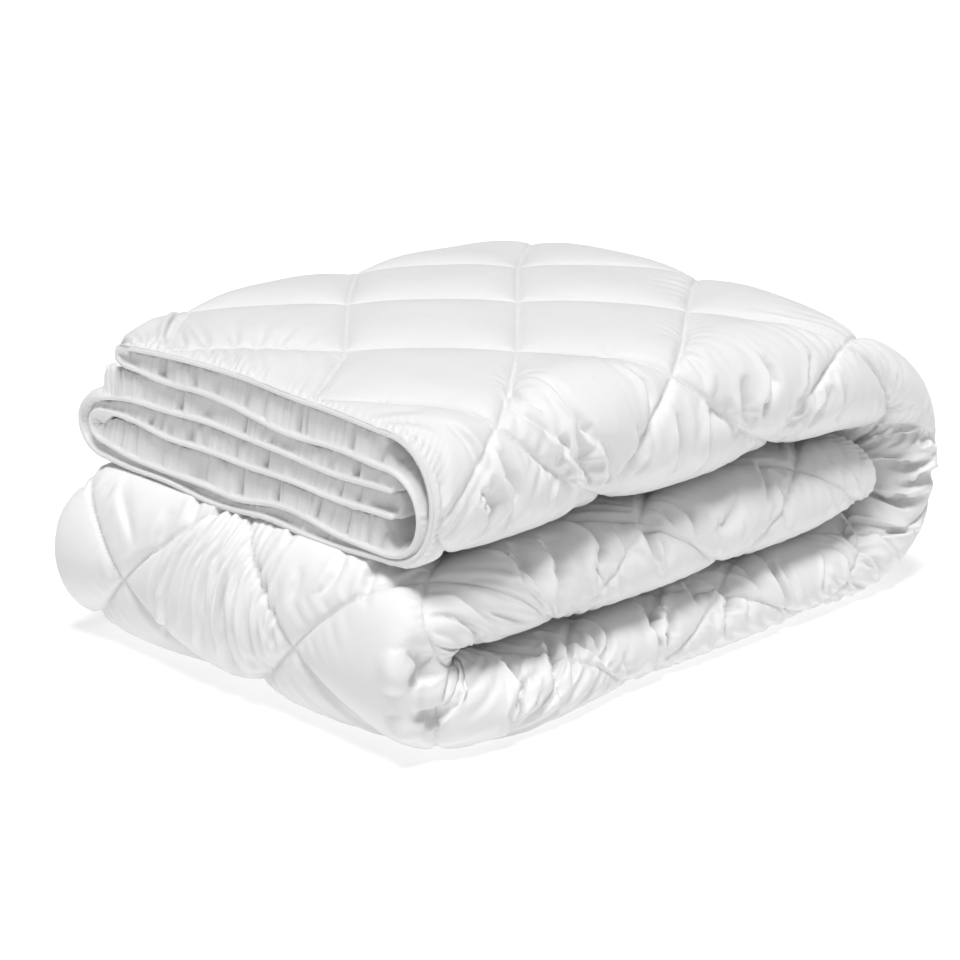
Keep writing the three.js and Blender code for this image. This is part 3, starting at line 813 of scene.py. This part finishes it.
def shades(tree, shader, source, dark, light):
    """Lets the colour drift between two shades of white."""
    ramp = node(tree, "ShaderNodeValToRGB")
    ramp.color_ramp.elements[0].position, ramp.color_ramp.elements[1].position = 0.3, 0.7
    ramp.color_ramp.elements[0].color = (*dark, 1)
    ramp.color_ramp.elements[1].color = (*light, 1)
    link(tree, source, "Fac", ramp, "Fac")
    link(tree, ramp, "Color", shader, "Base Color")


def sheen_areas(tree, shader, source, smooth, rough):
    """Lets the roughness drift between two values, as on a pressed and handled cloth."""
    spread = node(tree, "ShaderNodeMapRange", in_To_Min=smooth, in_To_Max=rough)
    link(tree, source, "Fac", spread, "Value")
    link(tree, spread, "Result", shader, "Roughness")


def woven_bump(tree, shader, place, thread_scale, crumple):
    """Threads both ways, with faint slubs and crumples under them."""
    both = node(tree, "ShaderNodeMath", operation="ADD")
    for n, axis in enumerate(("X", "Y")):
        wave = node(tree, "ShaderNodeTexWave", bands_direction=axis, in_Scale=thread_scale)
        link(tree, place, "Vector", wave, "Vector")
        link(tree, wave, "Fac", both, n)
    slub = noise_of(tree, place, 0.11, 4.0)
    fine = node(tree, "ShaderNodeBump", in_Strength=0.08, in_Distance=0.0002)
    soft = node(tree, "ShaderNodeBump", in_Strength=crumple, in_Distance=0.0012)
    link(tree, both, "Value", fine, "Height")
    link(tree, slub, "Fac", soft, "Height")
    link(tree, fine, "Normal", soft, "Normal")
    link(tree, soft, "Normal", shader, "Normal")


def white_fabric(name, dark, light, smooth, rough, thread_scale, crumple):
    """A white woven fabric with drifting shade and roughness, a weave and a soft sheen."""
    material = bpy.data.materials.new(name)
    material.use_nodes = True
    tree = material.node_tree
    shader = tree.nodes["Principled BSDF"]
    set_inputs(shader, {"Specular IOR Level": 0.25, "Sheen Weight": 0.2, "Sheen Roughness": 0.4})
    place = node(tree, "ShaderNodeAttribute", attribute_name="cloth")
    shades(tree, shader, noise_of(tree, place, 0.02, 3.0), dark, light)
    sheen_areas(tree, shader, noise_of(tree, place, 0.045, 3.0), smooth, rough)
    woven_bump(tree, shader, place, thread_scale, crumple)
    return material


# Building

cloth = white_fabric(
    "white_cloth", dark=(0.735, 0.735, 0.74), light=(0.765, 0.765, 0.765),
    smooth=0.48, rough=0.62, thread_scale=0.9, crumple=0.25)
edging = white_fabric(
    "white_binding", dark=(0.74, 0.74, 0.745), light=(0.775, 0.775, 0.775),
    smooth=0.42, rough=0.56, thread_scale=1.3, crumple=0.12)
thread = white_fabric(
    "white_thread", dark=(0.73, 0.73, 0.735), light=(0.76, 0.76, 0.76),
    smooth=0.5, rough=0.65, thread_scale=2.2, crumple=0.05)
cover = make_cover()


def build_cover():
    """The cover in pieces that share their edges, with a finer grid at the front."""
    points = cover["points"]
    normals = normals_of(points)
    flat = np.stack([cover["across"] * CELL, cover["along"] * CELL, cover["seam"]], -1)
    rows, columns = points.shape[:2]
    half = (rows - 1) // 4 * 2
    front, below = FRONT_COLUMNS
    parts = (
        ("front_upper", (0, half), (front, below), 1),
        ("front_lower", (half, rows - 1), (front, below), 1),
        ("top_upper", (0, half), (0, front), 2),
        ("top_lower", (half, rows - 1), (0, front), 2),
        ("under", (0, rows - 1), (below, columns - 1), 2),
    )
    for name, (top, bottom), (first, last), step in parts:
        part = (slice(top, bottom + 1, step), slice(first, last + 1))
        grid = points[part]
        piece = mesh_piece(
            "cover_" + name, grid, grid_faces(*grid.shape[:2]), cloth,
            normals=normals[part], flat=flat[part])
        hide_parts("duvet_body")


build_cover()


# The cloth between the layers at a bound end: its rows along the strip, counted from the edge
HEM_ROWS = np.array([
    0, 0.7, 1.4, 2.2, 3, 4, 5, 6.2, 7.5, 9, 10.5, 12, 14, 16, 18.5, 21, 25, 30, 38, 50, 64, 76])
TAIL_ROWS = np.concatenate([np.arange(0, 24, 4.0), np.arange(24, 76, 10.0)])
SWELL = 3.8  # length over which a layer swells from its bound edge
CLEARANCE = 0.35  # air between two layers that touch
EDGE_HALF = 2.1  # half the thickness of the bound edge
MEETS_HIGH = 0.8  # how near to the band above two layers meet, as a share
GATHER_WAVE, GATHER_DEPTH = 3.8, 0.7  # of the gathers between the bands
GATHER_TOP = 1.2  # where they are cut off, as a share of their depth
POCKET_SHARE = 0.4  # all pocket depths times this
ENDS_REACH = 8.0  # how much further the two inner layers run to the front
HAIRPIN_FILL = 0.85  # how far the cloth fills the inside of its tight folds
TIP_LENGTH = 7  # over which the cloth rounds off at its two ends
WAVE_POINTS = 4096  # of the noise along the cloth
END_SEED = 11
FAR_FROM_SEAM = 99.0

# Pockets between the layers at the hem, from rounded places on the photo: gap, place across,
# width, and depth before POCKET_SHARE
POCKETS = np.array([
    (1, 120, 9, 5), (1, 83, 3, 11), (1, 51, 3, 6), (1, 31, 6, 4), (1, 3, 2, 5), (1, -15, 2.5, 5),
    (1, -46, 2.5, 10), (1, -53, 1.5, 6), (1, -93, 3, 8), (1, -120, 8, 6),
    (2, 68, 2.5, 11), (2, 41, 6, 5), (2, 5, 1.5, 8), (2, -21, 2, 4), (2, -97, 2.5, 11), (2, -75, 5, 3),
    (3, 99, 2, 7), (3, 88, 1.5, 5), (3, 78, 2, 4), (3, 58, 5, 8), (3, 44, 3, 5), (3, 13, 1.5, 5),
    (3, -14, 2.5, 10), (3, -83, 2, 6), (3, -98, 2.5, 6), (3, -126, 16, 12),
    (4, 155, 7, 8), (4, 130, 2, 5), (4, 115, 2, 4), (4, 88, 2.5, 6), (4, 50, 11, 6), (4, 11, 3, 10),
    (4, -25, 2.5, 10), (4, -60, 2, 8), (4, -88, 2, 7), (4, -107, 3, 6), (4, -131, 12, 14),
    (5, 60, 10, 3), (5, -30, 9, 5), (5, -70, 1.5, 4), (5, -95, 1.5, 4), (5, -140, 12, 4),
], float)


def whole_cloth(strip, step):
    """The middle of all six layers and the room on both of its sides, as parts."""
    turn = strip.turns()
    turn["ends"] = turn["ends"] - ENDS_REACH
    count = lambda length: max(8, int(round(float(np.mean(length)) / step)))
    touch = strip.half + lerp(GAP, HEM_GAP, strip.hem) / 2 - CLEARANCE

    def run(layer, start, end, outer, inner):
        line = strip.run(layer, turn[start], turn[end], count(np.abs(turn[end] - turn[start])))
        gaps = [0 if other is None else min(layer, other) for other in (outer, inner)]
        room = []
        for other in (outer, inner):
            if other is None:
                room.append(strip.half[:, None] + 0 * line[..., 0])
            else:
                gap = strip.depth(other, line[..., 0]) - line[..., 1]
                spare = MEETS_HIGH * (np.abs(gap) / 2 - EDGE_HALF - CLEARANCE) * strip.hem[:, None]
                room.append(np.abs(gap) / 2 - CLEARANCE - np.sign(gap) * spare)
        return line, room[0], room[1], gaps

    def fold(first, second, at, bulge, full, outer, inner):
        line = strip.fold(first, second, turn[at], bulge, count(2.2 * np.abs(bulge) + 18), full)
        return line, outer[:, None] + 0 * line[..., 0], inner[:, None] + 0 * line[..., 0], [0, 0]

    half = strip.half
    return (
        run(3, "ends", "heel", 2, 4),
        fold(3, 6, "heel", turn["heel_length"], 1.0, half, touch),
        run(6, "heel", "nose", None, 5),
        fold(6, 1, "nose", -strip.nose, NOSE_FULL, half, touch),
        run(1, "nose", "hairpin", None, 2),
        fold(1, 2, "hairpin", turn["hairpin_length"], 1.0, half,
             turn["hairpin_length"] * HAIRPIN_FILL),
        run(2, "hairpin", "nose", 3, 1),
        fold(2, 5, "nose", -turn["nose_inside"], NOSE_FULL, half, touch),
        run(5, "nose", "heel", 4, 6),
        fold(5, 4, "heel", turn["heel_inside"], 1.0, turn["heel_inside"] * HAIRPIN_FILL, touch),
        run(4, "heel", "ends", 5, 3),
    )


COVERED = (1, 2, 3, 4, 5)  # parts of the whole cloth whose outside the cover already shows


def lateness(wavy, seed):
    """How far behind the bound edge a layer starts to swell: uneven waves and short gathers."""
    late = 0.1 + 0.1 * np.clip(1 + wavy(5, seed), 0, 2.6)
    late += 0.12 * np.clip(1 + wavy(11, seed + 3), 0, 2.6)
    late += 0.4 * np.clip(wavy(40, seed + 5), 0, 2)
    gathers = np.minimum(np.abs(wavy(2 * GATHER_WAVE, seed + 17)), GATHER_TOP)
    return late + GATHER_DEPTH * (GATHER_TOP - gathers)


def folds_at_end(rows, way, step):
    """The gathered cloth between the layers at one bound end: points, faces, flat places."""
    strip = Strip(rows if way < 0 else FULL_LENGTH - rows)
    parts = whole_cloth(strip, step)
    keep = [part[0].shape[1] - (n > 0) for n, part in enumerate(parts)]
    line = joined(part[0] for part in parts)
    columns = line.shape[1]
    walk = walked(line[0])
    even = np.linspace(0, walk[-1], WAVE_POINTS)
    wave = walk[-1] / WAVE_POINTS
    wavy = lambda length, seed: np.interp(
        walk, even, noise((2, WAVE_POINTS), (2, length / wave), seed)[0])
    tip = np.clip(np.minimum(walk, walk[-1] - walk) / TIP_LENGTH, 0, 1)
    tip = np.sqrt(1 - (1 - tip) ** 2)
    blur = np.ones(9) / 9
    sides = []
    for n, side in enumerate((-1, 1)):
        seed = END_SEED + n
        room = joined(part[1 + n] for part in parts)
        room = np.stack([np.convolve(np.pad(r, 4, "edge"), blur, "valid") for r in room])
        gap = np.repeat([part[3][n] for part in parts], keep)
        late = lateness(wavy, seed)
        for number, y, width, depth in POCKETS if way < 0 else ():
            pocket = np.exp(-((line[0, :, 0] - y) / width) ** 2)
            late += (gap == number) * POCKET_SHARE * depth * pocket
        reach = SWELL * (1 + 0.25 * np.clip(wavy(60, seed + 9), -1.5, 1.5))
        swell = smoothstep(rows[:, None] - late[None], 0, reach[None])
        gathers = np.abs(noise((len(rows), columns), (9, 2 * GATHER_WAVE / step), seed + 13))
        gathers = GATHER_DEPTH * (np.minimum(gathers, GATHER_TOP) - GATHER_TOP)
        gathers = gathers * swell * (1 - smoothstep(rows, 14, 30))[:, None]
        off = (lerp(EDGE_HALF - 0.4, room, swell) + gathers) * tip
        sides.append(strip.place(beside(line, side * np.maximum(off, 0.5)[..., None])))
    ring = np.concatenate([sides[0], sides[1][:, ::-1]], 1)
    owner = np.repeat(np.arange(len(parts)), keep)
    shown = np.concatenate([~np.isin(owner, COVERED), np.ones(columns, bool)])
    quads = grid_faces(len(rows), 2 * columns, closed=True)
    quads = quads[shown[quads[:, 0] % (2 * columns)]]
    j = np.arange(columns - 1)
    cap = np.stack([j, 2 * columns - 1 - j, 2 * columns - 2 - j, j + 1], 1)
    faces = np.concatenate([quads, cap])
    flat = np.stack(np.broadcast_arrays(
        np.concatenate([walk, walk[::-1]])[None], rows[:, None], FAR_FROM_SEAM), -1)
    return ring, (faces if way < 0 else faces[:, ::-1]), flat


BAND_SIDES = 12
BAND_ROUND = 0.8  # below 1, the band's section is squarer than an ellipse
BAND_OFF = 0.3  # from the ends of the layers
BAND_BACK = 1.3  # how much further the band reaches back over the cloth
BAND_UNEVEN, BAND_WAVE = 0.25, 60  # the wave in points along the band


def rounded_square(value):
    return np.sign(value) * np.abs(value) ** BAND_ROUND


def binding_at_end(way, step):
    """The bound edge: a rounded, slightly uneven tape round the ends of all the layers."""
    strip = Strip([0.0] if way < 0 else [FULL_LENGTH])
    line = joined(part[0] for part in whole_cloth(strip, step))
    count = line.shape[1]
    out = (beside(line, 1.0) - line)[0]
    heading = np.array([-strip.down[0, 1], strip.down[0, 0]]) * -way
    uneven = noise((2, count), (2, BAND_WAVE), 21)[0] * BAND_UNEVEN
    turn = np.linspace(0, 2 * math.pi, BAND_SIDES, endpoint=False)
    across = rounded_square(np.cos(turn)) * EDGE_HALF
    ahead = rounded_square(np.sin(turn)) * HEM_LAYER / 2
    ahead = np.where(ahead < 0, BAND_BACK, 1.0) * ahead
    wide = across[None] * (1 + 0.05 * uneven[:, None])
    ring = np.stack([line[0, :, None, k] + out[:, None, k] * wide for k in (0, 1)], -1)
    points = strip.place(ring.reshape(1, -1, 2))[0].reshape(count, BAND_SIDES, 3)
    move = BAND_OFF + HEM_LAYER / 2 + ahead[None] + 0.5 * uneven[:, None]
    points[..., 0] += heading[0] * move
    points[..., 2] += heading[1] * move
    walk = walked(line[0])
    tip = np.minimum(walk, walk[-1] - walk) / (HEM_LAYER / 2)
    round_end = np.sqrt(np.clip(1 - (1 - np.minimum(tip, 1)) ** 2, 0.0004, 1))
    centre = points.mean(1, keepdims=True)
    points = centre + (points - centre) * round_end[:, None, None]
    faces = grid_faces(count, BAND_SIDES, closed=True)
    flat = np.stack(np.broadcast_arrays(walk[:, None], turn[None] * 3, FAR_FROM_SEAM), -1)
    return points, (faces if way > 0 else faces[:, ::-1]), flat


# Name, node, way along the strip to the end, rows, and the steps across for folds and band
ENDS = (
    ("hem", "binding_top_end", -1, HEM_ROWS, 1.1, 2.0),
    ("inner_end", "binding_inner_end", 1, TAIL_ROWS, 3.6, 6.0),
)


def build_ends():
    """The gathered cloth and the band at both bound ends."""
    for name, node_name, way, rows, step, band_step in ENDS:
        points, faces, flat = folds_at_end(rows, way, step)
        piece = mesh_piece(name + "_folds", points, faces, cloth, flat=flat)
        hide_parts("duvet_body")
        points, faces, flat = binding_at_end(way, band_step)
        piece = mesh_piece(name + "_binding", points, faces, edging, flat=flat)
        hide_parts(node_name)


build_ends()


# The quilting stitches

STITCH, STITCH_STEP = 3.1, 4.1
STITCH_TIP, STITCH_HALF = 0.08, 0.34  # half a stitch's width at its ends and middle
STITCH_FLAT = 0.8  # its height as a share of its width
STITCH_RISE = 0.18


def stitched_rows():
    """Points and normals at the start, middle and end of every stitch on the cover."""
    points = cover["points"]
    normals = normals_of(points)
    stitches = []
    for field in (cover["first"], -cover["second"]):
        lowest = PHASE + DIAMOND * math.ceil((field.min() - PHASE) / DIAMOND)
        for value in np.arange(lowest, field.max(), DIAMOND):
            n = (field < value).sum(1)
            r = np.flatnonzero((n > 3) & (n < field.shape[1] - 3))
            if len(r) < 4:
                continue
            n = n[r]
            low, high = field[r, n - 1], field[r, n]
            t = ((value - low) / np.maximum(high - low, 1e-6))[:, None]
            line = lerp(points[r, n - 1], points[r, n], t)
            up = lerp(normals[r, n - 1], normals[r, n], t)
            walk = walked(line)
            at = np.arange(STITCH_STEP, walk[-1] - STITCH_STEP, STITCH_STEP)[:, None]
            at = at + np.array([-0.5, 0, 0.5]) * STITCH
            both = np.concatenate([line, up], 1)
            stitches.append(np.stack([np.interp(at, walk, column) for column in both.T], -1))
    stitches = np.concatenate(stitches)
    return stitches[..., :3], stitches[..., 3:]


def build_stitches():
    """The thread of the quilting, a small raised bead for each stitch."""
    line, up = stitched_rows()
    up = unit(up)
    side = np.cross(up, unit(line[:, 2:] - line[:, :1]))
    size = np.array([STITCH_TIP, STITCH_HALF, STITCH_TIP])[None, :, None, None]
    rise = STITCH_RISE * (size > STITCH_TIP)
    turn = (np.arange(4) + 0.5) * math.pi / 2
    ring = np.cos(turn)[:, None] * side[:, :, None] * size
    ring = ring + (np.sin(turn)[:, None] * STITCH_FLAT * size + rise) * up[:, :, None]
    points = line[:, :, None] + ring
    faces = grid_faces(3, 4, closed=True)
    faces = (np.arange(len(points))[:, None, None] * 12 + faces[None]).reshape(-1, 4)
    mesh_piece("quilting_stitches", points, faces, thread)


build_stitches()


# Floor, light and the photo's view

FLOOR_SIZE = 30  # in metres, as the camera's place
FLOOR_SHADE, FLOOR_GLOW = 0.5, 0.62
ROOM_LIGHT = 0.2
LIGHTS = (  # name, direction to it, strength, width in degrees
    ("key_light", (-0.17, -0.13, 1.0), 3.15, 22),
    ("front_light", (-0.45, -0.85, 0.08), 0.4, 20),
)

# The view, fitted to points picked on the photo
CAMERA_AZIMUTH, CAMERA_ELEVATION = -44.39, 18.43
CAMERA_DISTANCE = 1.9878
CAMERA_TARGET = (-0.0328, -0.00203, 0.09389)
CAMERA_LENS, SENSOR = 112.35, 36.0


def stage():
    """A plain white floor and soft, even light."""
    bpy.ops.mesh.primitive_plane_add(size=FLOOR_SIZE)
    floor = bpy.context.object
    floor.name = "floor"
    white = bpy.data.materials.new("floor_white")
    white.use_nodes = True
    set_inputs(white.node_tree.nodes["Principled BSDF"], {
        "Base Color": (FLOOR_SHADE, FLOOR_SHADE, FLOOR_SHADE, 1), "Roughness": 0.9,
        "Emission Color": (1, 1, 1, 1), "Emission Strength": FLOOR_GLOW})
    floor.data.materials.append(white)
    world = bpy.data.worlds.new("soft_room")
    bpy.context.scene.world = world
    world.use_nodes = True
    set_inputs(world.node_tree.nodes["Background"], {
        "Color": (1, 1, 1, 1), "Strength": ROOM_LIGHT})
    for name, direction, power, softness in LIGHTS:
        light = bpy.data.lights.new(name, "SUN")
        light.energy, light.angle = power, math.radians(softness)
        lamp = bpy.data.objects.new(name, light)
        bpy.context.scene.collection.objects.link(lamp)
        lamp.rotation_euler = (-Vector(direction)).to_track_quat("-Z", "Y").to_euler()


def make_camera():
    """The photo's view."""
    a, e = math.radians(CAMERA_AZIMUTH), math.radians(CAMERA_ELEVATION)
    back = Vector((math.sin(a) * math.cos(e), -math.cos(a) * math.cos(e), math.sin(e)))
    right = Vector((math.cos(a), math.sin(a), 0))
    up = back.cross(right)
    camera = bpy.data.objects.new("camera", bpy.data.cameras.new("camera"))
    bpy.context.scene.collection.objects.link(camera)
    place = Vector(CAMERA_TARGET) + back * CAMERA_DISTANCE
    camera.matrix_world = Matrix.Translation(place) @ Matrix((right, up, back)).transposed().to_4x4()
    camera.data.sensor_width = SENSOR
    camera.data.lens = CAMERA_LENS
    camera.data.clip_end = 100
    bpy.context.scene.camera = camera


stage()
make_camera()
bpy.context.scene.view_settings.view_transform = "Standard"
